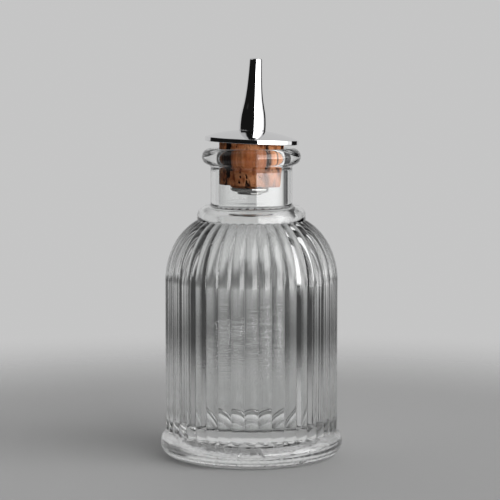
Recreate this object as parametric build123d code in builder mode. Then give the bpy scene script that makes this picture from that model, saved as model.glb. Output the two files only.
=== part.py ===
"""A bitters bottle: a ribbed glass bottle, and the corked metal spout that stops it.

Millimetres and degrees. The origin is the middle of the underside, +Z is up, and the
viewer looks along +Y, so -Y is the front. The stopper leans a little towards +X.
"""

from build123d import *
from math import acos, cos, degrees, radians, sin, sqrt, tan
import os

os.makedirs("parts", exist_ok=True)

# Body of the bottle, over the crests of its ribs
body_diameter = 58.4
shoulder_height = 59.3
rib_count = 40
rib_depth = 1.05

# Ring that it stands on
ring_overhang = 1.75
ring_round = 4.8
ring_blend = 0.5
bearing_width = 2.0
punt_rise = 2.0

# Dome, an ellipse in section that runs from the body up to the collar
dome_rise = 20.6
dome_turn = 66.3
dome_end_turn = 76.0
dome_steps = 6

# Collar, neck and lip
collar_step = 4.5
collar_height = 4.8
collar_round = 3.5
collar_slope = 0.3
neck_wall = 2.7
neck_length = 16.3
neck_blend = 0.5
lip_round = 2.85
lip_blend = 0.6
mouth_round_share = 0.65

# Hollow inside
wall = 7.15
floor_thickness = 11.4
floor_round = 1.6
bore_diameter = 22.2
throat_rise = 4.7
throat_round = 3.0
throat_step = 3.6
throat_slope = 2.8
step_round = 3.0
overrun = 5.0

# Stopper as a whole
stopper_lean = 2.8
plate_gap = 1.85
fit_gap = 0.05

# Cork
cork_length = 14.3
cork_taper = 2.6
cork_clearance = 0.25
cork_edge = 0.4

# Plate on top of the cork
plate_diameter = 31.7
plate_rim = 1.45
plate_crown = 2.9
plate_edge = 0.15

# Spout
spout_height = 24.3
spout_belly_diameter = 9.2
spout_orifice = 2.2
spout_edge = 0.8
spout_foot_edge = 0.2
shank_length = 6.0
# Radius of the outline as a share of the belly's, and height as a share of the spout's
spout_outline_shares = (
    (1.0, 0.0), (1.0, 0.07), (0.98, 0.14), (0.945, 0.21), (0.87, 0.284), (0.718, 0.42),
    (0.613, 0.56), (0.548, 0.7), (0.5, 0.85), (0.47, 1.0),
)

# Tube through the cork, and the ring that its flared lower end holds
tube_diameter = 6.4
tube_wall = 0.6
tube_end = 0.9
tube_flange_diameter = 8.4
tube_flange_edge = 0.4
passage_diameter = 3.8
end_ring_diameter = 13.2
end_ring_thickness = 2.2
end_ring_round = 1.0

# Radii of the bottle, from the bore outwards
bore_radius = bore_diameter / 2
neck_radius = bore_radius + neck_wall
collar_radius = neck_radius + collar_step
body_radius = body_diameter / 2
inner_radius = body_radius - wall
step_radius = bore_radius + throat_step
rib_depth_share = rib_depth / body_radius
core_radius = body_radius * (1 - rib_depth_share) - rib_depth / 3
ring_centre_radius = body_radius + ring_overhang - ring_round
ring_end_angle = degrees(acos((core_radius - ring_centre_radius) / ring_round))
punt_radius = ring_centre_radius - bearing_width

# Heights of the bottle, from the table upwards
ring_top = ring_round * (1 + sin(radians(ring_end_angle)))
core_top = ring_top + 2 * ring_blend
collar_foot = shoulder_height + dome_rise
collar_edge = collar_foot + collar_height
neck_foot = collar_edge + collar_slope
lip_middle = neck_foot + neck_length
lip_height = lip_middle + lip_round
throat_height = collar_foot + throat_rise
step_height = throat_height - throat_slope

# The dome's ellipse reaches the collar after dome_turn degrees
dome_semi_height = dome_rise / sin(radians(dome_turn))
dome_semi_width = (body_radius - collar_radius) / (1 - cos(radians(dome_turn)))

# Levels of the stopper, measured along its own axis from the middle of the mouth
cork_foot = plate_gap - cork_length
end_ring_foot = cork_foot - end_ring_thickness
tube_foot = end_ring_foot - tube_end
plate_top = plate_gap + plate_rim
plate_radius = plate_diameter / 2
cap_radius = (plate_radius**2 + plate_crown**2) / (2 * plate_crown)
cap_centre = plate_top + plate_crown - cap_radius
spout_foot_radius = spout_outline_shares[0][0] * spout_belly_diameter / 2
spout_seat = cap_centre + sqrt(cap_radius**2 - spout_foot_radius**2)
spout_top = spout_seat + spout_height

# Radii of the fits along the stopper
tube_radius = tube_diameter / 2
tube_hole_radius = tube_radius + fit_gap
tube_bore_radius = tube_radius - tube_wall
flange_radius = tube_flange_diameter / 2
shank_radius = tube_bore_radius - fit_gap
passage_radius = passage_diameter / 2

# The stopper's own plane holds its axis as local Y
lean = radians(stopper_lean)
mouth_middle = (0, 0, lip_height)
stopper_plane = Plane(origin=mouth_middle, x_dir=(cos(lean), 0, -sin(lean)), z_dir=(0, -1, 0))
stopper_axis = Axis(mouth_middle, (sin(lean), 0, cos(lean)))


def at_angle(radius, angle):
    """A point of the bottle's outline at an angle in degrees from +X."""
    return (radius * cos(radians(angle)), radius * sin(radians(angle)))


def ribbed_face(crest_radius):
    """Fill the bottle's outline at one height: round ribs that meet in sharp grooves."""
    groove_radius = crest_radius * (1 - rib_depth_share)
    pitch = 360 / rib_count
    with BuildLine() as outline:
        for rib in range(rib_count):
            crest = rib * pitch
            ThreePointArc(
                at_angle(groove_radius, crest - pitch / 2),
                at_angle(crest_radius, crest),
                at_angle(groove_radius, crest + pitch / 2),
            )
    make_face(outline.edges())


def cap_level(radius):
    """Height of the plate's shallow dome at a radius, along the stopper's axis."""
    return cap_centre + sqrt(cap_radius**2 - radius**2)


def cork_radius_at(level):
    """Radius of the tapered cork at a level along its axis; it clears the bore at the mouth."""
    return bore_radius - cork_clearance + level * tan(radians(cork_taper))


# Glass bottle
with BuildPart() as bottle:
    # Ring that the bottle stands on, blended into the core behind the ribs
    with BuildSketch(Plane.XZ) as ring_sketch:
        with BuildLine():
            Polyline((core_radius, core_top), (0, core_top), (0, 0), (ring_centre_radius, 0))
            CenterArc((ring_centre_radius, ring_round), ring_round, -90, 90 + ring_end_angle)
            Line((core_radius, ring_top), (core_radius, core_top))
        make_face()
        blend_corner = ring_sketch.vertices().sort_by_distance((core_radius, ring_top))[0]
        fillet(blend_corner, ring_blend)
    revolve(axis=Axis.Z)

    # Straight ribs
    with BuildSketch(Plane.XY.offset(ring_round)):
        ribbed_face(body_radius)
    extrude(amount=shoulder_height - ring_round)

    # Ribbed dome
    for step in range(dome_steps + 1):
        turn = radians(dome_end_turn * step / dome_steps)
        with BuildSketch(Plane.XY.offset(shoulder_height + dome_semi_height * sin(turn))):
            ribbed_face(body_radius - dome_semi_width * (1 - cos(turn)))
    loft()

    # Collar, neck and round lip
    with BuildSketch(Plane.XZ) as neck_sketch:
        with BuildLine():
            Polyline(
                (neck_radius, lip_height),
                (0, lip_height),
                (0, shoulder_height),
                (collar_radius, shoulder_height),
                (collar_radius, collar_edge),
                (neck_radius, neck_foot),
                (neck_radius, lip_middle - lip_round),
            )
            CenterArc((neck_radius, lip_middle), lip_round, -90, 180)
        make_face()
        corners = neck_sketch.vertices()
        fillet(corners.sort_by_distance((collar_radius, collar_edge))[0], collar_round)
        fillet(corners.sort_by_distance((neck_radius, neck_foot))[0], neck_blend)
        fillet(corners.sort_by_distance((neck_radius, lip_middle - lip_round))[0], lip_blend)
    revolve(axis=Axis.Z)

    # Hollow: flat floor, straight wall, dome, and a sloping step that narrows it to the neck's bore
    with BuildSketch(Plane.XZ) as hollow_sketch:
        with BuildLine():
            Polyline(
                (bore_radius, throat_height),
                (bore_radius, lip_height + overrun),
                (0, lip_height + overrun),
                (0, floor_thickness),
                (inner_radius, floor_thickness),
                (inner_radius, shoulder_height),
            )
            TangentArc(
                (inner_radius, shoulder_height), (step_radius, step_height), tangent=(0, 1)
            )
            Line((step_radius, step_height), (bore_radius, throat_height))
        make_face()
        corners = hollow_sketch.vertices()
        fillet(corners.sort_by_distance((step_radius, step_height))[0], step_round)
        fillet(corners.sort_by_distance((inner_radius, floor_thickness))[0], floor_round)
        fillet(corners.sort_by_distance((bore_radius, throat_height))[0], throat_round)
    revolve(axis=Axis.Z, mode=Mode.SUBTRACT)

    # Shallow hollow under the base, which leaves a flat ring to stand on
    with BuildSketch(Plane.XZ):
        with BuildLine():
            ThreePointArc((-punt_radius, 0), (0, punt_rise), (punt_radius, 0))
            Line((punt_radius, 0), (-punt_radius, 0))
        make_face()
        split(bisect_by=Plane.YZ)
    revolve(axis=Axis.Z, mode=Mode.SUBTRACT)

    # Rounded inner edge of the mouth
    mouth_edges = bottle.edges().filter_by(GeomType.CIRCLE).group_by(Axis.Z)[-1]
    fillet(mouth_edges.sort_by(SortBy.RADIUS)[0], mouth_round_share * neck_wall)
bottle.part.label = "bottle"
export_step(bottle.part, "parts/bottle.step")

# Cork
with BuildPart() as cork:
    with BuildSketch(stopper_plane) as cork_sketch:
        with BuildLine():
            Polyline(
                (tube_hole_radius, plate_gap),
                (tube_hole_radius, cork_foot),
                (cork_radius_at(cork_foot), cork_foot),
                (cork_radius_at(plate_gap), plate_gap),
                close=True,
            )
        make_face()
        fillet(cork_sketch.vertices().sort_by(Axis.Y)[:2].sort_by(Axis.X)[-1], cork_edge)
    revolve(axis=stopper_axis)
cork.part.label = "cork"
export_step(cork.part, "parts/cork.step")

# Plate on top of the cork: upright rim, shallow dome and a flat seat for the spout
with BuildPart() as dome_plate:
    with BuildSketch(stopper_plane) as plate_sketch:
        with BuildLine():
            half_way = (plate_radius + spout_foot_radius) / 2
            ThreePointArc(
                (plate_radius, plate_top),
                (half_way, cap_level(half_way)),
                (spout_foot_radius, spout_seat),
            )
            Polyline(
                (spout_foot_radius, spout_seat),
                (tube_hole_radius, spout_seat),
                (tube_hole_radius, plate_gap),
                (plate_radius, plate_gap),
                (plate_radius, plate_top),
            )
        make_face()
        fillet(plate_sketch.vertices().group_by(Axis.X)[-1], plate_edge)
    revolve(axis=stopper_axis)
dome_plate.part.label = "dome_plate"
export_step(dome_plate.part, "parts/dome_plate.step")

# Spout: slender above a wide foot, with a shank that goes down into the tube
with BuildPart() as spout:
    with BuildSketch(stopper_plane) as spout_sketch:
        belly_radius = spout_belly_diameter / 2
        outline = [
            (radius_share * belly_radius, spout_seat + height_share * spout_height)
            for radius_share, height_share in spout_outline_shares
        ]
        with BuildLine():
            Spline(outline)
            Polyline(
                outline[-1],
                (spout_orifice / 2, spout_top),
                (passage_radius, spout_seat),
                (passage_radius, spout_seat - shank_length),
                (shank_radius, spout_seat - shank_length),
                (shank_radius, spout_seat),
                outline[0],
            )
        make_face()
        fillet(spout_sketch.vertices().sort_by_distance(outline[-1])[0], spout_edge)
        fillet(spout_sketch.vertices().sort_by_distance(outline[0])[0], spout_foot_edge)
    revolve(axis=stopper_axis)
spout.part.label = "spout"
export_step(spout.part, "parts/spout.step")

# Tube from the spout's seat down through plate, cork and ring, flared under the ring
with BuildPart() as stem_tube:
    with BuildSketch(stopper_plane) as tube_sketch:
        with BuildLine():
            Polyline(
                (tube_bore_radius, spout_seat),
                (tube_bore_radius, tube_foot),
                (flange_radius, tube_foot),
                (flange_radius, end_ring_foot),
                (tube_radius, end_ring_foot),
                (tube_radius, spout_seat),
                close=True,
            )
        make_face()
        fillet(tube_sketch.vertices().sort_by_distance((flange_radius, tube_foot))[0], tube_flange_edge)
    revolve(axis=stopper_axis)
stem_tube.part.label = "stem_tube"
export_step(stem_tube.part, "parts/stem_tube.step")

# Ring that clamps the cork from below
with BuildPart() as end_ring:
    with BuildSketch(stopper_plane) as ring_section:
        with BuildLine():
            Polyline(
                (tube_hole_radius, cork_foot),
                (tube_hole_radius, end_ring_foot),
                (end_ring_diameter / 2, end_ring_foot),
                (end_ring_diameter / 2, cork_foot),
                close=True,
            )
        make_face()
        fillet(ring_section.vertices().group_by(Axis.X)[-1], end_ring_round)
    revolve(axis=stopper_axis)
end_ring.part.label = "end_ring"
export_step(end_ring.part, "parts/end_ring.step")
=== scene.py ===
"""Dresses a bitters bottle: ribbed clear glass, natural cork and a chromed pouring spout.

Every size is in metres. The bottle stands on the origin with +Z up and its front towards -Y,
and the stopper leans a little towards +X.
"""

from __future__ import annotations

import logging
import math
from dataclasses import dataclass, field, fields
from enum import Enum
from typing import Any, Iterable, NamedTuple, Sequence

import bmesh
import bpy
from mathutils import Matrix, Vector

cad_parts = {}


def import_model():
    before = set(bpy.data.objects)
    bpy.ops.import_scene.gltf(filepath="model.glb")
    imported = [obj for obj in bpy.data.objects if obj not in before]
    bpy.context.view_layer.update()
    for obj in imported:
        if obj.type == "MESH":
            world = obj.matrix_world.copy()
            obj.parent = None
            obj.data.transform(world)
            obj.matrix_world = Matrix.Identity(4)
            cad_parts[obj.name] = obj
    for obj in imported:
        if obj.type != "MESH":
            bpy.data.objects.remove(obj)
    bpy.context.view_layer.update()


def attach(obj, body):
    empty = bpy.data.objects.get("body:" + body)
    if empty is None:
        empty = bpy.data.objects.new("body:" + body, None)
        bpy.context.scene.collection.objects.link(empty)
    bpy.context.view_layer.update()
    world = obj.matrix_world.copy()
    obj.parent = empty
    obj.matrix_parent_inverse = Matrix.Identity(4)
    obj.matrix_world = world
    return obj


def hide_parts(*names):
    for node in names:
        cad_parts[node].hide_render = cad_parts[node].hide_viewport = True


MM = 0.001
SAME_SPOT = 1e-6
MERGE_WITHIN = 1e-7
FLAT_WITHIN = 1e-8
SHARP_FROM = 32.0
log = logging.getLogger("bitters_bottle")

Point = tuple[float, float]
Material = bpy.types.Material
Node = bpy.types.Node
Object = bpy.types.Object
Socket = bpy.types.NodeSocket
Tree = bpy.types.NodeTree


class Skin(Enum):
    """Which side of the glass wall a stretch of the bottle's outline belongs to."""

    OUTSIDE = 0.0
    INSIDE = 1.0


class Plating(Enum):
    """The two bright metals on the stopper."""

    CHROME = "bright_chrome"
    TUBE = "tube_metal"


class Row(NamedTuple):
    """One point of the glass's outline: its own radius and height, and what it carries."""

    core: float
    height: float
    crest: float
    ripple: float


class Ray(NamedTuple):
    """A ray that meets the surroundings: its angles in degrees, and 1 if it came through glass."""

    azimuth: Socket
    rise: Socket
    through: Socket


class Wiring:
    """A node tree, with short calls that add nodes and join them."""

    def __init__(self, tree: Tree) -> None:
        """Take the tree that the nodes go into.

        Args:
            tree: A shader, world or geometry node tree.
        """
        self.tree = tree

    def node(self, kind: str, feeds: dict | None = None, **settings: Any) -> Node:
        """Add one node.

        Args:
            kind: The node's type name.
            feeds: Input name or number to a socket that feeds it, or to a plain value.
            **settings: Properties of the node, such as its operation.

        Returns:
            The new node.
        """
        made = self.tree.nodes.new(kind)
        for name, value in settings.items():
            setattr(made, name, value)
        for key, value in (feeds or {}).items():
            self.feed(made.inputs[key], value)
        return made

    def out(self, kind: str, feeds: dict | None = None, **settings: Any) -> Socket:
        """Add one node, as node does, and return its first output."""
        return self.node(kind, feeds, **settings).outputs[0]

    def feed(self, target: Socket, value: Any) -> None:
        """Link a socket to an input, or set the input's own value."""
        if isinstance(value, Socket):
            self.tree.links.new(value, target)
        else:
            target.default_value = value

    def math(self, operation: str, *values: Any) -> Socket:
        """Add a Math node and return its result."""
        return self.out("ShaderNodeMath", dict(enumerate(values)), operation=operation)

    def ramp(self, value: Any, low: Any, high: Any) -> Socket:
        """Rise smoothly from 0 to 1 as a value goes from low to high.

        Args:
            value: The socket that is read.
            low: Where the result is 0.
            high: Where the result is 1.

        Returns:
            The result's socket.
        """
        return self.out(
            "ShaderNodeMapRange",
            {"Value": value, "From Min": low, "From Max": high},
            interpolation_type="SMOOTHSTEP",
        )

    def window(self, value: Any, low: float, high: float, soft: float) -> Socket:
        """Be 1 between two levels and 0 outside them.

        Args:
            value: The socket that is read.
            low: The lower level.
            high: The upper level.
            soft: How far the rise and the fall reach to either side of their level.

        Returns:
            The result's socket.
        """
        begun = self.ramp(value, low - soft, low + soft)
        return self.math("SUBTRACT", begun, self.ramp(value, high - soft, high + soft))

    def rest_of(self, value: Any) -> Socket:
        """Take a share away from 1."""
        return self.math("SUBTRACT", 1.0, value)

    def product(self, first: Any, *others: Any) -> Socket:
        """Multiply two or more values."""
        for other in others:
            first = self.math("MULTIPLY", first, other)
        return first

    def blend(self, share: Any, first: Any, second: Any) -> Socket:
        """Mix two colours.

        Args:
            share: How much of the second colour shows.
            first: The first colour.
            second: The second colour.

        Returns:
            The mixed colour's socket.
        """
        made = self.node("ShaderNodeMix", data_type="RGBA")
        self.feed(made.inputs[0], share)
        self.feed(made.inputs[6], first)
        self.feed(made.inputs[7], second)
        return made.outputs[2]

    def noise(self, spot: Any, seed: Any, scale: Any, detail: float) -> Socket:
        """Add a noise that is seeded through its fourth direction.

        Args:
            spot: Where the noise is read.
            seed: Which noise it is.
            scale: Its patches per metre.
            detail: How many finer layers it has.

        Returns:
            The noise level's socket.
        """
        return self.out(
            "ShaderNodeTexNoise",
            {"Vector": spot, "W": seed, "Scale": scale, "Detail": detail},
            noise_dimensions="4D",
        )

    def drawn(self, spot: Any, stretch: Any) -> Socket:
        """Stretch the place where a pattern is read."""
        return self.out("ShaderNodeVectorMath", {0: spot, 1: stretch}, operation="MULTIPLY")


def grey(level: float) -> tuple[float, float, float, float]:
    """An opaque neutral colour of one linear level."""
    return (level, level, level, 1.0)


def arc(centre: Point, radius: float, start: float, end: float, steps: int) -> list[Point]:
    """Points along a round arc of an outline.

    Args:
        centre: Radius and height of the arc's centre.
        radius: The arc's radius.
        start: The first angle in degrees, from outwards towards upwards.
        end: The last angle in degrees.
        steps: How many pieces the arc is cut into.

    Returns:
        The points, both ends included.
    """
    turns = [math.radians(start + (end - start) * step / steps) for step in range(steps + 1)]
    return [(centre[0] + radius * math.cos(t), centre[1] + radius * math.sin(t)) for t in turns]


def line(start: Point, end: Point, steps: int) -> list[Point]:
    """Evenly spaced points from one point of an outline to another, both included."""
    return [
        (start[0] + (end[0] - start[0]) * step / steps, start[1] + (end[1] - start[1]) * step / steps)
        for step in range(steps + 1)
    ]


def corner(before: Point, tip: Point, after: Point, radius: float, steps: int) -> list[Point]:
    """Round a corner of an outline.

    Args:
        before: A point on the straight that leads to the corner.
        tip: The sharp corner.
        after: A point on the straight that leaves it.
        radius: The rounding's radius.
        steps: How many pieces the arc is cut into.

    Returns:
        The arc's points, from the first straight to the second.
    """
    here = Vector(tip)
    way_in = (Vector(before) - here).normalized()
    way_out = (Vector(after) - here).normalized()
    half = way_in.angle(way_out) / 2
    middle = here + (way_in + way_out).normalized() * (radius / math.sin(half))
    first = here + way_in * (radius / math.tan(half)) - middle
    last = here + way_out * (radius / math.tan(half)) - middle
    start = math.degrees(math.atan2(first.y, first.x))
    sweep = math.degrees(math.atan2(last.y, last.x)) - start
    sweep = (sweep + 180) % 360 - 180
    return arc((middle.x, middle.y), radius, start, start + sweep, steps)


def flowing(points: Sequence[Point], steps: int) -> list[Point]:
    """A smooth curve through a few points of an outline.

    Args:
        points: The points that the curve passes through.
        steps: How many pieces each stretch is cut into.

    Returns:
        The curve's points, both ends included.
    """
    ends = [Vector(p) for p in points]
    padded = [ends[0] * 2 - ends[1], *ends, ends[-1] * 2 - ends[-2]]
    made = []
    for a, b, c, d in zip(padded, padded[1:], padded[2:], padded[3:]):
        for step in range(steps):
            t = step / steps
            spot = (
                b * 2 + (c - a) * t + (a * 2 - b * 5 + c * 4 - d) * t**2 + (b * 3 - a - c * 3 + d) * t**3
            ) / 2
            made.append((spot.x, spot.y))
    return [*made, tuple(points[-1])]


def distinct(points: Iterable[Point]) -> list[Point]:
    """Drop each point that repeats the one before it."""
    kept: list[Point] = []
    for point in points:
        if not kept or math.dist(point, kept[-1]) > SAME_SPOT:
            kept.append(point)
    return kept


def new_object(name: str, mesh: bpy.types.Mesh) -> Object:
    """Put a mesh into the scene as an object at the origin."""
    made = bpy.data.objects.new(name, mesh)
    bpy.context.scene.collection.objects.link(made)
    return made


def closed_outwards(mesh: bpy.types.Mesh) -> None:
    """Merge a mesh's doubles and turn all its faces outwards."""
    work = bmesh.new()
    work.from_mesh(mesh)
    bmesh.ops.remove_doubles(work, verts=work.verts, dist=MERGE_WITHIN)
    bmesh.ops.dissolve_degenerate(work, edges=work.edges, dist=FLAT_WITHIN)
    bmesh.ops.recalc_face_normals(work, faces=work.faces)
    if work.calc_volume(signed=True) < 0:
        bmesh.ops.reverse_faces(work, faces=work.faces)
    work.to_mesh(mesh)
    work.free()


def turned(name: str, outline: Sequence[Point], place: Matrix, sides: int) -> Object:
    """Turn a closed outline round the vertical axis into a solid.

    Args:
        name: The object's name.
        outline: Radius and height of each point, in order round the section.
        place: Where the turned solid's axis and zero height go.
        sides: How many pieces the full turn is cut into.

    Returns:
        The object, smooth apart from its sharp corners.
    """
    work = bmesh.new()
    rows = []
    for side in range(sides):
        turn = 2 * math.pi * side / sides
        rows.append(
            [work.verts.new((r * math.cos(turn), r * math.sin(turn), h)) for r, h in outline]
        )
    count = len(outline)
    for side in range(sides):
        here, there = rows[side], rows[(side + 1) % sides]
        for step in range(count):
            after = (step + 1) % count
            work.faces.new((here[step], there[step], there[after], here[after]))
    bmesh.ops.transform(work, matrix=place, verts=work.verts)
    mesh = bpy.data.meshes.new(name)
    work.to_mesh(mesh)
    work.free()
    closed_outwards(mesh)
    mesh.shade_smooth()
    mesh.set_sharp_from_angle(angle=math.radians(SHARP_FROM))
    return new_object(name, mesh)


def geometry_tree(name: str, sizes: dict[str, tuple[str, Any]]) -> tuple[Wiring, Node, Node]:
    """Start a geometry node tree.

    Args:
        name: The tree's name.
        sizes: Input name to the kind of its socket and its first value.

    Returns:
        The tree's wiring, its input node and its output node.
    """
    tree = bpy.data.node_groups.new(name, "GeometryNodeTree")
    tree.interface.new_socket("Geometry", in_out="INPUT", socket_type="NodeSocketGeometry")
    tree.interface.new_socket("Geometry", in_out="OUTPUT", socket_type="NodeSocketGeometry")
    for label, (kind, value) in sizes.items():
        socket = tree.interface.new_socket(label, in_out="INPUT", socket_type=f"NodeSocket{kind}")
        if value is not None:
            socket.default_value = value
    wiring = Wiring(tree)
    return wiring, wiring.node("NodeGroupInput"), wiring.node("NodeGroupOutput")


def dress(w: Wiring, shape: Socket, material: Any, result: Node) -> None:
    """End a geometry node tree with plain geometry that has its material.

    Args:
        w: The tree's wiring.
        shape: The geometry's socket.
        material: The socket that gives the material.
        result: The tree's output node.
    """
    real = w.out("GeometryNodeRealizeInstances", {"Geometry": shape})
    dressed = w.out("GeometryNodeSetMaterial", {"Geometry": real, "Material": material})
    w.feed(result.inputs[0], dressed)


def grow(piece: Object, tree: Tree, material: Material) -> None:
    """Run a geometry node tree on a piece and keep what it makes as the piece's plain mesh.

    Args:
        piece: The object whose mesh the tree starts from.
        tree: The geometry node tree, with a Material input.
        material: The piece's one material.
    """
    modifier = piece.modifiers.new(tree.name, "NODES")
    modifier.node_group = tree
    chosen = next(i for i in tree.interface.items_tree if i.name == "Material")
    modifier[chosen.identifier] = material
    view = bpy.context.evaluated_depsgraph_get()
    mesh = bpy.data.meshes.new_from_object(piece.evaluated_get(view), depsgraph=view)
    piece.modifiers.clear()
    piece.data = mesh
    closed_outwards(mesh)
    mesh.materials.clear()
    mesh.materials.append(material)


def mottle_group() -> Tree:
    """The uneven pattern that glass, metal and cork all share, as a shader node group.

    Returns:
        A group with an input for each of a Mottle's values, and Mask and Grain outputs.
    """
    name = "surface_mottle"
    if name in bpy.data.node_groups:
        return bpy.data.node_groups[name]
    tree = bpy.data.node_groups.new(name, "ShaderNodeTree")
    for label in ("Scale", "Low", "High", "Seed"):
        tree.interface.new_socket(label, in_out="INPUT", socket_type="NodeSocketFloat")
    tree.interface.new_socket("Stretch", in_out="INPUT", socket_type="NodeSocketVector")
    for label in ("Mask", "Grain"):
        tree.interface.new_socket(label, in_out="OUTPUT", socket_type="NodeSocketFloat")
    w = Wiring(tree)
    given = w.node("NodeGroupInput").outputs
    result = w.node("NodeGroupOutput")
    place = w.node("ShaderNodeTexCoord").outputs["Object"]
    grain = w.noise(w.drawn(place, given["Stretch"]), given["Seed"], given["Scale"], detail=4.0)
    w.feed(result.inputs["Mask"], w.ramp(grain, given["Low"], given["High"]))
    w.feed(result.inputs["Grain"], grain)
    return tree


@dataclass(frozen=True)
class Mottle:
    """One use of the shared mottle: its patches per metre and its mask's two noise levels."""

    scale: float
    low: float
    high: float
    seed: float
    stretch: tuple[float, float, float] = (1.0, 1.0, 1.0)

    def place(self, w: Wiring) -> dict[str, Socket]:
        """Put the mottle group with these values into a material.

        Args:
            w: The material's wiring.

        Returns:
            The group's Mask and Grain outputs by name.
        """
        group = w.node("ShaderNodeGroup", node_tree=mottle_group())
        for size in fields(self):
            group.inputs[size.name.title()].default_value = getattr(self, size.name)
        return {label: group.outputs[label] for label in ("Mask", "Grain")}


@dataclass(frozen=True)
class Finish:
    """A finish with one shader, whose bumps follow mottles."""

    name: str

    def start(self) -> tuple[Wiring, Node, Material]:
        """Make an empty material with its shader.

        Returns:
            The wiring, the shader node and the material.
        """
        material = bpy.data.materials.new(self.name)
        material.use_nodes = True
        tree = material.node_tree
        shader = next(n for n in tree.nodes if n.type == "BSDF_PRINCIPLED")
        return Wiring(tree), shader, material

    def bump(self, w: Wiring, shader: Node, height: Socket) -> None:
        """Raise the shaded surface by a height in metres."""
        bump = w.out("ShaderNodeBump", {"Strength": 1.0, "Distance": 1.0, "Height": height})
        w.feed(shader.inputs["Normal"], bump)


@dataclass(frozen=True)
class GlassFinish(Finish):
    """Clear moulded glass with faint chill marks and a stippled foot."""

    name: str = "clear_glass"
    tint: tuple[float, float, float] = (0.985, 0.992, 0.988)
    refraction: float = 1.5
    chill_height: float = 0.013 * MM
    chill_from: float = -15.0 * MM
    chill_to: float = 11.0 * MM
    chill_edge: float = 2.0 * MM
    chill_foot: float = 30.0 * MM
    chill_top: float = 52.0 * MM
    chill_fade: float = 6.0 * MM
    chill_grain: Mottle = Mottle(1400.0, 0.42, 0.68, seed=3.0, stretch=(1.8, 1.8, 1.0))
    chill_patches: Mottle = Mottle(60.0, 0.4, 0.52, seed=8.0)
    stipple_height: float = 0.025 * MM
    stipple_top: float = 9.5 * MM
    stipple_fade: float = 3.0 * MM
    stipple_grain: Mottle = Mottle(900.0, 0.5, 0.66, seed=5.0)

    def build(self) -> Material:
        """Make the material."""
        w, shader, material = self.start()
        shader.inputs["Base Color"].default_value = (*self.tint, 1.0)
        shader.inputs["Roughness"].default_value = 0.0
        shader.inputs["IOR"].default_value = self.refraction
        shader.inputs["Transmission Weight"].default_value = 1.0
        place = w.node("ShaderNodeTexCoord").outputs["Object"]
        spot = w.node("ShaderNodeSeparateXYZ", {0: place}).outputs
        belt = w.product(
            w.window(spot["Z"], self.chill_foot, self.chill_top, self.chill_fade),
            w.window(spot["X"], self.chill_from, self.chill_to, self.chill_edge),
            w.math("LESS_THAN", spot["Y"], 0.0),
        )
        grain, patches = (m.place(w)["Mask"] for m in (self.chill_grain, self.chill_patches))
        foot = w.rest_of(w.ramp(spot["Z"], self.stipple_top - self.stipple_fade, self.stipple_top))
        chill = w.product(grain, patches, belt, self.chill_height)
        stipple = w.product(self.stipple_grain.place(w)["Mask"], foot, self.stipple_height)
        self.bump(w, shader, w.math("ADD", chill, stipple))
        return material


@dataclass(frozen=True)
class MetalFinish(Finish):
    """Bright metal with faint handling marks."""

    name: str
    colour: tuple[float, float, float]
    polish: float
    dullest: float
    wave_height: float
    smears: Mottle = Mottle(260.0, 0.45, 0.75, seed=2.0)
    waves: Mottle = Mottle(150.0, 0.2, 0.8, seed=6.0)

    def build(self) -> Material:
        """Make the material."""
        w, shader, material = self.start()
        shader.inputs["Base Color"].default_value = (*self.colour, 1.0)
        shader.inputs["Metallic"].default_value = 1.0
        smeared = self.smears.place(w)["Mask"]
        rough = w.out(
            "ShaderNodeMapRange", {"Value": smeared, "To Min": self.polish, "To Max": self.dullest}
        )
        w.feed(shader.inputs["Roughness"], rough)
        self.bump(w, shader, w.product(self.waves.place(w)["Grain"], self.wave_height))
        return material


@dataclass(frozen=True)
class CorkFinish(Finish):
    """Natural cork: warm brown grain with dark pores."""

    name: str = "natural_cork"
    pale: tuple[float, float, float] = (0.64, 0.27, 0.12)
    warm: tuple[float, float, float] = (0.45, 0.13, 0.04)
    ruddy: tuple[float, float, float] = (0.20, 0.05, 0.016)
    pore: tuple[float, float, float] = (0.02, 0.008, 0.005)
    speck_share: float = 0.35
    roughness: float = 0.85
    shine: float = 0.1
    pore_depth: float = 0.25 * MM
    grit_height: float = 0.12 * MM
    broad: Mottle = Mottle(230.0, 0.36, 0.64, seed=11.0, stretch=(1.0, 1.0, 1.6))
    fine: Mottle = Mottle(1500.0, 0.3, 0.7, seed=12.0)
    pores: Mottle = Mottle(700.0, 0.59, 0.66, seed=13.0, stretch=(1.0, 1.0, 0.55))
    cracks: Mottle = Mottle(330.0, 0.55, 0.6, seed=47.0, stretch=(1.0, 1.0, 0.22))
    streaks: Mottle = Mottle(480.0, 0.5, 0.66, seed=14.0, stretch=(1.0, 1.0, 0.3))

    def build(self) -> Material:
        """Make the material."""
        w, shader, material = self.start()
        pale, warm, ruddy, dark = ((*c, 1.0) for c in (self.pale, self.warm, self.ruddy, self.pore))
        fine, pores = self.fine.place(w), self.pores.place(w)["Mask"]
        plain = w.blend(self.broad.place(w)["Mask"], pale, warm)
        grain = w.blend(self.streaks.place(w)["Mask"], plain, ruddy)
        speck = w.blend(fine["Mask"], grain, w.blend(self.speck_share, grain, dark))
        sunk = w.math("MAXIMUM", pores, self.cracks.place(w)["Mask"])
        w.feed(shader.inputs["Base Color"], w.blend(sunk, speck, dark))
        shader.inputs["Roughness"].default_value = self.roughness
        shader.inputs["Specular IOR Level"].default_value = self.shine
        dips = w.product(pores, -self.pore_depth)
        grit = w.product(fine["Grain"], self.grit_height)
        self.bump(w, shader, w.math("ADD", dips, grit))
        return material


METALS = {
    Plating.CHROME: MetalFinish(
        Plating.CHROME.value, (0.86, 0.86, 0.87), polish=0.02, dullest=0.07, wave_height=0.02 * MM
    ),
    Plating.TUBE: MetalFinish(
        Plating.TUBE.value, (0.80, 0.79, 0.77), polish=0.06, dullest=0.16, wave_height=0.03 * MM
    ),
}


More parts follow.
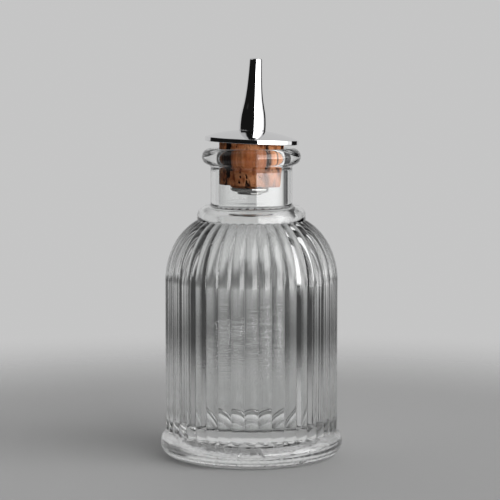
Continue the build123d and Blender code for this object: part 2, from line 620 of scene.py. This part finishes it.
@dataclass
class GlassBottle:
    """The ribbed bottle, one closed skin of glass from its foot over the lip to its floor."""

    body_radius: float = 29.2 * MM
    shoulder_height: float = 59.3 * MM
    rib_count: int = 40
    rib_depth: float = 1.05 * MM
    rib_sides: int = 9
    rib_blend: float = 0.12 * MM
    core_depth_share: float = 4 / 3
    ring_overhang: float = 1.75 * MM
    ring_round: float = 4.8 * MM
    ring_blend: float = 0.5 * MM
    bearing_width: float = 2.0 * MM
    punt_rise: float = 2.0 * MM
    dome_rise: float = 20.6 * MM
    dome_turn: float = 66.3
    dome_end_turn: float = 76.0
    collar_step: float = 4.5 * MM
    collar_height: float = 4.8 * MM
    collar_round: float = 3.5 * MM
    collar_slope: float = 0.3 * MM
    neck_wall: float = 2.7 * MM
    neck_length: float = 16.3 * MM
    neck_blend: float = 0.5 * MM
    lip_round: float = 2.85 * MM
    lip_blend: float = 0.6 * MM
    mouth_round_share: float = 0.65
    wall: float = 7.15 * MM
    floor_thickness: float = 11.4 * MM
    floor_round: float = 1.6 * MM
    bore_radius: float = 11.1 * MM
    throat_rise: float = 4.7 * MM
    throat_round: float = 3.0 * MM
    throat_step: float = 3.6 * MM
    throat_slope: float = 2.8 * MM
    step_round: float = 3.0 * MM
    least_row: float = 0.2 * MM
    bearing_rows: int = 3
    punt_rows: int = 10
    ring_rows: int = 26
    ring_blend_rows: int = 12
    body_rows: int = 8
    dome_rows: int = 44
    collar_rows: int = 10
    neck_foot_rows: int = 6
    neck_rows: int = 8
    lip_rows: int = 22
    mouth_rows: int = 8
    bore_rows: int = 12
    throat_rows: int = 12
    hollow_dome_rows: int = 40
    hollow_wall_rows: int = 12
    floor_round_rows: int = 10
    floor_rows: int = 8
    ripple_height: float = 0.004 * MM
    ripples: float = 130.0
    ripple_ring: float = 25.0 * MM
    ripple_draw: float = 0.3
    ripple_seed: float = 4.0
    number_slack: float = 0.0001
    finish: GlassFinish = field(default_factory=GlassFinish)

    def __post_init__(self) -> None:
        """Work out the radii and heights that follow from the sizes."""
        self.neck_radius = self.bore_radius + self.neck_wall
        self.collar_radius = self.neck_radius + self.collar_step
        self.inner_radius = self.body_radius - self.wall
        self.ring_centre = self.body_radius + self.ring_overhang - self.ring_round
        self.core_radius = self.body_radius - self.rib_depth * self.core_depth_share
        self.collar_foot = self.shoulder_height + self.dome_rise
        self.collar_edge = self.collar_foot + self.collar_height
        self.neck_foot = self.collar_edge + self.collar_slope
        self.lip_middle = self.neck_foot + self.neck_length
        self.lip_height = self.lip_middle + self.lip_round
        self.throat_height = self.collar_foot + self.throat_rise
        turn = math.radians(self.dome_turn)
        self.dome_semi_height = self.dome_rise / math.sin(turn)
        self.dome_semi_width = (self.body_radius - self.collar_radius) / (1 - math.cos(turn))
        half_pitch = math.pi / self.rib_count
        groove = 1 - self.rib_depth / self.body_radius
        flat = 1 - groove * math.cos(half_pitch)
        self.rib_round_share = (flat**2 + (groove * math.sin(half_pitch)) ** 2) / (2 * flat)

    def foot(self) -> list[Point]:
        """Outline of the underside and the ring, up to where its blend meets the core."""
        punt_radius = self.ring_centre - self.bearing_width
        punt_curve = (punt_radius**2 + self.punt_rise**2) / (2 * self.punt_rise)
        edge = math.degrees(math.asin(punt_radius / punt_curve))
        punt = arc((0.0, self.punt_rise - punt_curve), punt_curve, 90, 90 - edge, self.punt_rows)
        blend_centre = self.core_radius + self.ring_blend
        reach = self.ring_round + self.ring_blend
        across = blend_centre - self.ring_centre
        up = math.sqrt(reach**2 - across**2)
        turn = math.degrees(math.atan2(up, across))
        middle = (self.ring_centre, self.ring_round)
        ring = arc(middle, self.ring_round, -90, turn, self.ring_rows)
        blend_middle = (blend_centre, self.ring_round + up)
        blend = arc(blend_middle, self.ring_blend, 180 + turn, 180, self.ring_blend_rows)
        bearing = line((punt_radius, 0.0), (self.ring_centre, 0.0), self.bearing_rows)
        return distinct([*punt, *bearing, *ring, *blend])

    def top(self) -> list[Point]:
        """Outline of the collar, the neck and the lip, over the mouth to the bore."""
        edge = (self.collar_radius, self.collar_edge)
        base = (self.neck_radius, self.neck_foot)
        lip_foot = (self.neck_radius, self.lip_middle - self.lip_round)
        below = (self.collar_radius, self.collar_foot)
        mouth_round = self.mouth_round_share * self.neck_wall
        mouth = (self.bore_radius, self.lip_height)
        tuck = math.degrees(self.lip_blend / self.lip_round)
        neck_low = (self.neck_radius, self.neck_foot + self.neck_blend)
        neck_high = (self.neck_radius, self.lip_middle - self.lip_round - self.lip_blend)
        crown = (self.neck_radius, self.lip_height)
        return distinct(
            [
                *corner(below, edge, base, self.collar_round, self.collar_rows),
                *corner(edge, base, lip_foot, self.neck_blend, self.neck_foot_rows),
                *line(neck_low, neck_high, self.neck_rows),
                *arc((self.neck_radius, self.lip_middle), self.lip_round, tuck - 90, 90, self.lip_rows),
                *corner(crown, mouth, (self.bore_radius, 0.0), mouth_round, self.mouth_rows),
            ]
        )

    def hollow(self) -> list[Point]:
        """Outline of the hollow, from the bore down to the middle of the floor."""
        step = (self.bore_radius + self.throat_step, self.throat_height - self.throat_slope)
        drop = step[1] - self.shoulder_height
        draw = self.inner_radius - step[0]
        curve = (draw**2 + drop**2) / (2 * draw)
        centre = (self.inner_radius - curve, self.shoulder_height)
        top_turn = math.degrees(math.asin(drop / curve))
        lean = math.radians(top_turn)
        below = (step[0] + math.sin(lean), step[1] - math.cos(lean))
        throat = (self.bore_radius, self.throat_height)
        mouth = (self.bore_radius, self.lip_height)
        bend = corner(mouth, throat, step, self.throat_round, self.throat_rows)
        edge = corner(throat, step, below, self.step_round, self.throat_rows)
        dome = arc(centre, curve, top_turn, 0, self.hollow_dome_rows)
        wall_top = (self.inner_radius, self.shoulder_height)
        wall_foot = (self.inner_radius, self.floor_thickness)
        middle = (0.0, self.floor_thickness)
        floor_corner = corner(wall_top, wall_foot, middle, self.floor_round, self.floor_round_rows)
        return distinct(
            [
                *line((self.bore_radius, self.lip_height - self.lip_round), bend[0], self.bore_rows),
                *bend,
                *edge,
                *[p for p in dome if p[1] < edge[-1][1] - self.least_row],
                *line(wall_top, floor_corner[0], self.hollow_wall_rows),
                *floor_corner,
                *line(floor_corner[-1], middle, self.floor_rows),
            ]
        )

    def outline(self) -> list[Row]:
        """The whole skin's outline, with crests of radius 0 where there are no ribs."""
        outside, inside = Skin.OUTSIDE.value, Skin.INSIDE.value
        rows = []
        foot = self.foot()
        for radius, height in foot:
            crest = self.body_radius if height > self.ring_round and radius > self.ring_centre else 0.0
            rows.append(Row(radius, height, crest, outside))
        hidden = self.core_radius - 2 * self.rib_depth
        for _, height in line((0.0, foot[-1][1]), (0.0, self.shoulder_height), self.body_rows)[1:]:
            rows.append(Row(hidden, height, self.body_radius, outside))
        for step in range(1, self.dome_rows + 1):
            turn = math.radians(self.dome_end_turn * step / self.dome_rows)
            height = self.shoulder_height + self.dome_semi_height * math.sin(turn)
            crest = self.body_radius - self.dome_semi_width * (1 - math.cos(turn))
            rows.append(Row(min(hidden, self.collar_radius), height, crest, outside))
        for radius, height in self.top():
            if height > rows[-1].height or radius < self.neck_radius + self.lip_round:
                rows.append(Row(radius, height, 0.0, outside))
        return [*rows, *(Row(radius, height, 0.0, inside) for radius, height in self.hollow())]

    def held(self, w: Wiring, name: str) -> Socket:
        """Read one of the numbers that the points carry."""
        return w.out("GeometryNodeInputNamedAttribute", {"Name": name}, data_type="FLOAT")

    def swept(self, w: Wiring, give: Any) -> Socket:
        """Sweep the outline round a circle whose points carry their own number.

        Args:
            w: The tree's wiring.
            give: The tree's inputs.

        Returns:
            The swept skin's socket.
        """
        outline = w.out("GeometryNodeMeshToCurve", {"Mesh": give["Geometry"]})
        sides = w.product(give["Rib Count"], give["Sides Per Rib"])
        circle = w.out("GeometryNodeCurvePrimitiveCircle", {"Resolution": sides, "Radius": 1.0})
        marked = w.out(
            "GeometryNodeStoreNamedAttribute",
            {"Geometry": circle, "Name": "side", "Value": w.out("GeometryNodeInputIndex")},
            data_type="FLOAT",
            domain="POINT",
        )
        return w.out("GeometryNodeCurveToMesh", {"Curve": marked, "Profile Curve": outline})

    def rib(self, w: Wiring, give: Any) -> tuple[Socket, Socket]:
        """Follow the round of one rib, with its points bunched towards the grooves.

        Args:
            w: The tree's wiring.
            give: The tree's inputs.

        Returns:
            A point's turn round the axis, and its share of the crests' radius.
        """
        place = w.math("DIVIDE", self.held(w, "side"), give["Sides Per Rib"])
        # The slack keeps a point on a groove from falling back to the rib before.
        number = w.math("FLOOR", w.math("ADD", place, self.number_slack))
        across = w.math("SUBTRACT", w.product(w.math("SUBTRACT", place, number), 2.0), 1.0)
        bunched = w.math("SINE", w.product(across, math.pi / 2))
        half_pitch = w.math("DIVIDE", math.pi, give["Rib Count"])
        swing = w.product(bunched, half_pitch)
        turn = w.math("ADD", w.product(number, 2.0, half_pitch), swing)
        rib_round = give["Rib Round"]
        offset = w.rest_of(rib_round)
        aside = w.product(offset, w.math("SINE", swing))
        squared = w.math("SUBTRACT", w.product(rib_round, rib_round), w.product(aside, aside))
        rise = w.math("SQRT", squared)
        return turn, w.math("ADD", w.product(offset, w.math("COSINE", swing)), rise)

    def ripple(self, w: Wiring, give: Any, cosine: Any, sine: Any, height: Any) -> Socket:
        """Make the faint ripple of the inner skin, long and upright.

        Args:
            w: The tree's wiring.
            give: The tree's inputs.
            cosine: The cosine of the point's turn.
            sine: The sine of the point's turn.
            height: The point's height.

        Returns:
            How far the point moves outwards.
        """
        spot = w.out("ShaderNodeCombineXYZ", {0: cosine, 1: sine, 2: height})
        stretch = (self.ripple_ring, self.ripple_ring, self.ripple_draw)
        level = w.noise(w.drawn(spot, stretch), give["Seed"], give["Ripples Per Metre"], detail=2.0)
        swell = w.math("SUBTRACT", w.product(level, 2.0), 1.0)
        return w.product(self.held(w, "ripple"), give["Ripple Height"], swell)

    def ribs_tree(self) -> Tree:
        """The geometry node tree that turns the outline and raises the ribs and ripples."""
        w, given, result = geometry_tree(
            "ribbed_glass",
            {
                "Rib Count": ("Int", self.rib_count),
                "Sides Per Rib": ("Int", self.rib_sides),
                "Rib Round": ("Float", self.rib_round_share),
                "Blend": ("Float", self.rib_blend),
                "Ripple Height": ("Float", self.ripple_height),
                "Ripples Per Metre": ("Float", self.ripples),
                "Seed": ("Float", self.ripple_seed),
                "Material": ("Material", None),
            },
        )
        give = given.outputs
        turn, share = self.rib(w, give)
        ribbed = w.product(self.held(w, "crest"), share)
        radius = w.math("SMOOTH_MAX", self.held(w, "core"), ribbed, give["Blend"])
        height = self.held(w, "height")
        cosine, sine = w.math("COSINE", turn), w.math("SINE", turn)
        ripple = self.ripple(w, give, cosine, sine, height)
        on_axis = w.math("LESS_THAN", radius, SAME_SPOT)
        rippled = w.product(w.math("ADD", radius, ripple), w.rest_of(on_axis))
        place = w.out(
            "ShaderNodeCombineXYZ",
            {0: w.product(cosine, rippled), 1: w.product(sine, rippled), 2: height},
        )
        moved = w.out("GeometryNodeSetPosition", {"Geometry": self.swept(w, give), "Position": place})
        merged = w.out("GeometryNodeMergeByDistance", {"Geometry": moved, "Distance": SAME_SPOT})
        smooth = w.out("GeometryNodeSetShadeSmooth", {"Geometry": merged})
        dress(w, smooth, give["Material"], result)
        return w.tree

    def build(self) -> Object:
        """Make the bottle and let it stand for its node."""
        rows = self.outline()
        mesh = bpy.data.meshes.new("glass_bottle")
        edges = [(i, i + 1) for i in range(len(rows) - 1)]
        mesh.from_pydata([(row.core, 0, row.height) for row in rows], edges, [])
        for name, values in zip(Row._fields, zip(*rows)):
            layer = mesh.attributes.new(name, "FLOAT", "POINT")
            layer.data.foreach_set("value", values)
        piece = new_object("glass_bottle", mesh)
        material = self.finish.build()
        grow(piece, self.ribs_tree(), material)
        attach(piece, "bottle")
        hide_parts("bottle")
        return piece


@dataclass
class Stopper:
    """The cork with its plate, spout, tube and end ring, all on one leaning axis."""

    mouth_height: float
    lean: float = 2.8
    plate_gap: float = 1.85 * MM
    fit_gap: float = 0.05 * MM
    cork_length: float = 14.3 * MM
    cork_taper: float = 2.6
    cork_mouth_radius: float = 10.85 * MM
    cork_edge: float = 0.4 * MM
    plate_radius: float = 15.85 * MM
    plate_rim: float = 1.45 * MM
    plate_crown: float = 2.9 * MM
    plate_edge: float = 0.15 * MM
    plate_edge_turn: float = 0.6
    spout_height: float = 24.3 * MM
    belly_radius: float = 4.6 * MM
    orifice_radius: float = 1.1 * MM
    spout_edge: float = 0.8 * MM
    spout_foot_edge: float = 0.2 * MM
    orifice_edge: float = 0.15 * MM
    shank_length: float = 6.0 * MM
    tube_radius: float = 3.2 * MM
    tube_wall: float = 0.6 * MM
    tube_end: float = 0.9 * MM
    tube_edge: float = 0.2 * MM
    tube_flange_radius: float = 4.2 * MM
    passage_radius: float = 1.9 * MM
    end_ring_radius: float = 6.6 * MM
    end_ring_thickness: float = 2.2 * MM
    end_ring_round: float = 1.0 * MM
    outline_shares: tuple[Point, ...] = (
        (1.0, 0.0), (1.0, 0.07), (0.98, 0.14), (0.945, 0.21), (0.87, 0.284), (0.718, 0.42),
        (0.613, 0.56), (0.548, 0.7), (0.5, 0.85), (0.47, 1.0),
    )
    sides: int = 160
    cap_rows: int = 40
    rim_rows: int = 12
    plate_foot_rows: int = 5
    plate_edge_rows: int = 6
    spout_rows: int = 10
    tip_rows: int = 8
    spout_foot_rows: int = 5
    tube_edge_rows: int = 4
    end_ring_rows: int = 8
    cork_sides: int = 300
    cork_rows: int = 90
    cork_edge_rows: int = 4
    cork_top_rows: int = 14
    cork_foot_rows: int = 20
    cork_bore_rows: int = 4
    cork_seed: float = 47.0
    pore_depth: float = 0.3 * MM
    pores: float = 520.0
    pore_draw: tuple[float, float, float] = (1.0, 1.0, 0.5)
    pore_levels: tuple[float, float] = (0.58, 0.72)
    fissure_depth: float = 0.5 * MM
    fissures: float = 330.0
    fissure_draw: tuple[float, float, float] = (1.0, 1.0, 0.22)
    fissure_levels: tuple[float, float] = (0.56, 0.61)

    def __post_init__(self) -> None:
        """Work out the levels along the stopper's axis, from the mouth upwards."""
        self.cork_foot = self.plate_gap - self.cork_length
        self.ring_foot = self.cork_foot - self.end_ring_thickness
        self.tube_foot = self.ring_foot - self.tube_end
        self.plate_top = self.plate_gap + self.plate_rim
        self.cap_radius = (self.plate_radius**2 + self.plate_crown**2) / (2 * self.plate_crown)
        self.cap_centre = self.plate_top + self.plate_crown - self.cap_radius
        self.hole_radius = self.tube_radius + self.fit_gap
        self.foot_radius = self.outline_shares[0][0] * self.belly_radius
        self.seat = self.cap_centre + math.sqrt(self.cap_radius**2 - self.foot_radius**2)
        self.place = Matrix.Translation((0, 0, self.mouth_height)) @ Matrix.Rotation(
            math.radians(self.lean), 4, "Y"
        )

    def metal(self, plating: Plating) -> Material:
        """One of the bright metals, made on its first use."""
        return bpy.data.materials.get(plating.value) or METALS[plating].build()

    def finish_piece(self, piece: Object, node: str) -> Object:
        """Let a piece ride on the stopper and stand for its node."""
        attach(piece, "stopper")
        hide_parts(node)
        return piece

    def plate(self) -> Object:
        """The round plate: an upright rim under a shallow dome, flat where the spout stands."""
        rim_turn = math.degrees(math.acos(self.plate_radius / self.cap_radius))
        seat_turn = math.degrees(math.acos(self.foot_radius / self.cap_radius))
        start = rim_turn + self.plate_edge_turn
        cap = arc((0.0, self.cap_centre), self.cap_radius, start, seat_turn, self.cap_rows)
        hole = (self.hole_radius, self.plate_gap)
        low = (self.plate_radius, self.plate_gap)
        high = (self.plate_radius, self.plate_top)
        rim_low = (self.plate_radius, self.plate_gap + self.plate_edge)
        rim_high = (self.plate_radius, self.plate_top - self.plate_edge)
        outline = distinct(
            [
                hole,
                *corner(hole, low, high, self.plate_edge, self.plate_foot_rows),
                *line(rim_low, rim_high, self.rim_rows),
                *corner(low, high, cap[0], self.plate_edge, self.plate_edge_rows),
                *cap,
                (self.hole_radius, self.seat),
            ]
        )
        piece = turned("chrome_plate", outline, self.place, self.sides)
        piece.data.materials.append(self.metal(Plating.CHROME))
        return self.finish_piece(piece, "dome_plate")

    def spout(self) -> Object:
        """The slender pouring spout with its shank."""
        top = self.seat + self.spout_height
        skin = flowing(
            [(r * self.belly_radius, self.seat + h * self.spout_height) for r, h in self.outline_shares],
            self.spout_rows,
        )
        tip_edge = corner(skin[-2], skin[-1], (self.orifice_radius, top), self.spout_edge, self.tip_rows)
        foot = (self.foot_radius, self.seat)
        inside = (self.passage_radius, self.seat)
        foot_edge = corner(inside, foot, skin[1], self.spout_foot_edge, self.spout_foot_rows)
        kept = [p for p in skin if foot_edge[-1][1] < p[1] < tip_edge[0][1]]
        shank = self.tube_radius - self.tube_wall - self.fit_gap
        outline = distinct(
            [
                *foot_edge,
                *kept,
                *tip_edge,
                (self.orifice_radius + self.orifice_edge, top),
                (self.orifice_radius, top - self.orifice_edge),
                inside,
                (self.passage_radius, self.seat - self.shank_length),
                (shank, self.seat - self.shank_length),
                (shank, self.seat),
            ]
        )
        piece = turned("pouring_spout", outline, self.place, self.sides)
        piece.data.materials.append(self.metal(Plating.CHROME))
        return self.finish_piece(piece, "spout")

    def tube(self) -> Object:
        """The tube through the cork."""
        bore = self.tube_radius - self.tube_wall
        top = self.ring_foot
        low = (bore, self.tube_foot)
        flange_low, flange = (self.tube_flange_radius, self.tube_foot), (self.tube_flange_radius, top)
        outline = distinct(
            [
                (bore, self.seat),
                *corner((bore, top), low, flange_low, self.tube_edge, self.tube_edge_rows),
                *corner(low, flange_low, flange, 2 * self.tube_edge, self.tube_edge_rows),
                flange,
                (self.tube_radius, top),
                (self.tube_radius, self.seat),
            ]
        )
        piece = turned("stem_pipe", outline, self.place, self.sides // 2)
        piece.data.materials.append(self.metal(Plating.TUBE))
        return self.finish_piece(piece, "stem_tube")

    def end_ring(self) -> Object:
        """The ring that clamps the cork from below."""
        low = (self.end_ring_radius, self.ring_foot)
        high = (self.end_ring_radius, self.cork_foot)
        hole_low, hole_high = (self.hole_radius, self.ring_foot), (self.hole_radius, self.cork_foot)
        outline = distinct(
            [
                hole_low,
                *corner(hole_low, low, high, self.end_ring_round, self.end_ring_rows),
                *corner(low, high, hole_high, self.end_ring_round, self.end_ring_rows),
                hole_high,
            ]
        )
        piece = turned("clamp_ring", outline, self.place, self.sides)
        piece.data.materials.append(self.metal(Plating.TUBE))
        return self.finish_piece(piece, "end_ring")

    def cork_radius(self, level: float) -> float:
        """Radius of the tapered cork at a level along its axis."""
        return self.cork_mouth_radius + level * math.tan(math.radians(self.cork_taper))

    def grain_tree(self) -> Tree:
        """The geometry node tree that sinks pores and fissures into the cork's skin."""
        w, given, result = geometry_tree(
            "cork_grain",
            {
                "Pore Depth": ("Float", self.pore_depth),
                "Pores Per Metre": ("Float", self.pores),
                "Fissure Depth": ("Float", self.fissure_depth),
                "Fissures Per Metre": ("Float", self.fissures),
                "Seed": ("Float", self.cork_seed),
                "Material": ("Material", None),
            },
        )
        give = given.outputs
        spot = w.out("GeometryNodeInputPosition")
        seed = give["Seed"]
        pores = w.noise(w.drawn(spot, self.pore_draw), seed, give["Pores Per Metre"], detail=2.0)
        cracks = w.noise(w.drawn(spot, self.fissure_draw), seed, give["Fissures Per Metre"], detail=4.0)
        sunk_pore = w.product(w.ramp(pores, *self.pore_levels), give["Pore Depth"])
        sunk_fissure = w.product(w.ramp(cracks, *self.fissure_levels), give["Fissure Depth"])
        depth = w.product(w.math("MAXIMUM", sunk_pore, sunk_fissure), -1.0)
        normal = w.out("GeometryNodeInputNormal")
        sunk = w.out("ShaderNodeVectorMath", {0: normal, "Scale": depth}, operation="SCALE")
        moved = w.out("GeometryNodeSetPosition", {"Geometry": give["Geometry"], "Offset": sunk})
        dress(w, moved, give["Material"], result)
        return w.tree

    def cork(self) -> Object:
        """The tapered cork with pores and fissures in its skin."""
        top_radius, foot_radius = self.cork_radius(self.plate_gap), self.cork_radius(self.cork_foot)
        high, low = (top_radius, self.plate_gap), (foot_radius, self.cork_foot)
        hole_high, hole_low = (self.hole_radius, self.plate_gap), (self.hole_radius, self.cork_foot)
        edge = corner(high, low, hole_low, self.cork_edge, self.cork_edge_rows)
        outline = distinct(
            [
                *line(hole_high, high, self.cork_top_rows),
                *line(high, edge[0], self.cork_rows),
                *edge,
                *line(edge[-1], hole_low, self.cork_foot_rows),
                *line(hole_low, hole_high, self.cork_bore_rows)[:-1],
            ]
        )
        piece = turned("cork_plug", outline, self.place, self.cork_sides)
        material = CorkFinish().build()
        grow(piece, self.grain_tree(), material)
        return self.finish_piece(piece, "cork")

    def build(self) -> list[Object]:
        """Make all the stopper's pieces."""
        return [self.plate(), self.spout(), self.tube(), self.end_ring(), self.cork()]


@dataclass
class Studio:
    """A plain pale floor and soft light: a white panel on the right and darkness on the left.

    The light's angles are in degrees, round from the front towards the right, or up.
    """

    floor_radius: float = 1.2
    floor_sides: int = 128
    floor_level: float = 0.36
    floor_roughness: float = 0.7
    fade_start: float = 0.13
    fade_end: float = 0.32
    wall: float = 0.56
    wall_low: float = 0.2
    low_from: float = -8.6
    low_to: float = -6.7
    panel: float = 7.0
    panel_through: float = 1.6
    panel_high: float = 3.8
    panel_far: float = 0.95
    panel_far_from: float = 72.0
    panel_far_to: float = 102.0
    dark: float = 0.008
    dark_through: float = 0.055
    panel_from: float = 14.5
    panel_to: float = 115.0
    panel_foot: float = -5.6
    panel_dim_from: float = 5.0
    panel_dim_to: float = 14.0
    panel_top: float = 54.0
    sill: float = 0.9
    sill_top: float = -9.5
    ceiling: float = 0.5
    ceiling_side: float = 62.0
    ceiling_soft: float = 24.0
    ceiling_from: float = 21.0
    ceiling_to: float = 33.0
    above: float = 0.5
    above_from: float = 66.0
    above_to: float = 80.0
    wall_from: float = 146.0
    wall_left: float = -140.0
    wall_left_swing: float = 18.0
    edge: float = 2.0
    camera_distance: float = 0.663
    camera_height: float = 0.1296
    camera_tilt: float = 5.16
    camera_near: float = 0.05
    sensor_width: float = 36.0
    frame_px: float = 500.0
    focal_px: float = 1968.0
    aside_px: float = 1.4

    def floor(self) -> None:
        """The round floor, whose rim fades into the backdrop."""
        mesh = bpy.data.meshes.new("floor")
        work = bmesh.new()
        bmesh.ops.create_circle(work, cap_ends=True, segments=self.floor_sides, radius=self.floor_radius)
        work.to_mesh(mesh)
        work.free()
        piece = new_object("floor", mesh)
        material = bpy.data.materials.new("pale_floor")
        material.use_nodes = True
        w = Wiring(material.node_tree)
        shader = next(n for n in material.node_tree.nodes if n.type == "BSDF_PRINCIPLED")
        output = next(n for n in material.node_tree.nodes if n.type == "OUTPUT_MATERIAL")
        shader.inputs["Base Color"].default_value = grey(self.floor_level)
        shader.inputs["Roughness"].default_value = self.floor_roughness
        place = w.node("ShaderNodeTexCoord").outputs["Object"]
        reach = w.node("ShaderNodeVectorMath", {0: place}, operation="LENGTH").outputs["Value"]
        fade = w.ramp(reach, self.fade_start, self.fade_end)
        clear = w.out("ShaderNodeBsdfTransparent")
        mixed = w.out("ShaderNodeMixShader", {0: fade, 1: shader.outputs[0], 2: clear})
        w.feed(output.inputs["Surface"], mixed)
        mesh.materials.append(material)

    def step(self, w: Wiring, value: Any, at: float, width: float) -> Socket:
        """Go from 0 to 1 round one angle, over a width in degrees."""
        return w.ramp(value, at - width / 2, at + width / 2)

    def before(self, w: Wiring, value: Any, at: float) -> Socket:
        """Go from 1 to 0 round one angle."""
        return w.rest_of(self.step(w, value, at, self.edge))

    def panel_glow(self, w: Wiring, ray: Ray) -> Socket:
        """The white panel's own light: dimmer above, dimmer through glass and dimmest at the back.

        Args:
            w: The world's wiring.
            ray: The ray that sees it.

        Returns:
            The light's socket.
        """
        dim = w.ramp(ray.rise, self.panel_dim_from, self.panel_dim_to)
        bright = w.blend(dim, grey(self.panel), grey(self.panel_high))
        near = w.blend(ray.through, bright, grey(self.panel_through))
        far = w.ramp(ray.azimuth, self.panel_far_from, self.panel_far_to)
        return w.blend(far, near, grey(self.panel_far))

    def room(self, w: Wiring, ray: Ray) -> Socket:
        """The dark side, the backdrop behind the bottle and what is above.

        Args:
            w: The world's wiring.
            ray: The ray that sees them.

        Returns:
            The light's socket.
        """
        right = self.step(w, ray.azimuth, self.wall_from, self.edge)
        swung = w.product(self.step(w, ray.rise, self.panel_foot, self.edge), self.wall_left_swing)
        turned_back = w.math("SUBTRACT", ray.azimuth, swung)
        left = w.rest_of(self.step(w, turned_back, self.wall_left, 3 * self.edge))
        behind = w.math("MAXIMUM", left, right)
        sideways = self.step(w, w.math("ABSOLUTE", ray.azimuth), self.ceiling_side, self.ceiling_soft)
        upper = w.product(w.ramp(ray.rise, self.ceiling_from, self.ceiling_to), sideways)
        shade = w.blend(ray.through, grey(self.dark), grey(self.dark_through))
        gloom = w.blend(upper, shade, grey(self.ceiling))
        band = w.product(
            self.before(w, ray.rise, self.low_to), self.step(w, ray.rise, self.low_from, self.edge)
        )
        low = w.product(ray.through, band)
        backdrop = w.blend(low, grey(self.wall), grey(self.wall_low))
        around = w.blend(behind, gloom, backdrop)
        return w.blend(w.ramp(ray.rise, self.above_from, self.above_to), around, grey(self.above))

    def light(self) -> None:
        """The surroundings, as they show in glass and chrome, with a plain backdrop behind."""
        world = bpy.data.worlds.new("studio")
        world.use_nodes = True
        world.node_tree.nodes.clear()
        w = Wiring(world.node_tree)
        way = w.node("ShaderNodeTexCoord").outputs["Generated"]
        axes = w.node("ShaderNodeSeparateXYZ", {0: way}).outputs
        path = w.node("ShaderNodeLightPath").outputs
        unscattered = w.math("LESS_THAN", path["Diffuse Depth"], 0.5)
        ray = Ray(
            azimuth=w.math("DEGREES", w.math("ARCTAN2", axes["X"], w.product(axes["Y"], -1.0))),
            rise=w.math("DEGREES", w.math("ARCSINE", axes["Z"])),
            through=w.product(path["Is Transmission Ray"], unscattered),
        )
        from_left = self.step(w, ray.azimuth, self.panel_from, self.edge)
        across = w.product(from_left, self.before(w, ray.azimuth, self.panel_to))
        topped = w.rest_of(self.step(w, ray.rise, self.panel_top, 5 * self.edge))
        tall = w.product(self.step(w, ray.rise, self.panel_foot, self.edge), topped)
        below = self.before(w, ray.rise, self.sill_top)
        silled = w.blend(w.product(across, below), self.room(w, ray), grey(self.sill))
        all_round = w.blend(w.product(across, tall), silled, self.panel_glow(w, ray))
        seen = w.blend(path["Is Camera Ray"], all_round, grey(self.wall))
        shine = w.out("ShaderNodeBackground", {"Color": seen, "Strength": 1.0})
        w.node("ShaderNodeOutputWorld", {"Surface": shine})
        bpy.context.scene.world = world

    def camera(self) -> None:
        """The camera at the photograph's distance, height and angle."""
        data = bpy.data.cameras.new("camera")
        data.sensor_width = self.sensor_width
        data.lens = self.sensor_width * self.focal_px / self.frame_px
        data.shift_x = -self.aside_px / self.frame_px
        data.clip_start = self.camera_near
        piece = bpy.data.objects.new("camera", data)
        piece.location = (0.0, -self.camera_distance, self.camera_height)
        piece.rotation_euler = (math.radians(90 - self.camera_tilt), 0.0, 0.0)
        bpy.context.scene.collection.objects.link(piece)
        bpy.context.scene.camera = piece

    def build(self) -> None:
        """Make the floor, the light and the camera."""
        self.floor()
        self.light()
        self.camera()
        bpy.context.scene.view_settings.view_transform = "Standard"


def main() -> None:
    """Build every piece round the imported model."""
    logging.basicConfig(level=logging.INFO, format="%(name)s: %(message)s")
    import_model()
    bottle = GlassBottle()
    for piece in [bottle.build(), *Stopper(mouth_height=bottle.lip_height).build()]:
        log.info("%s: %d faces", piece.name, len(piece.data.polygons))
    Studio().build()


if __name__ == "__main__":
    main()
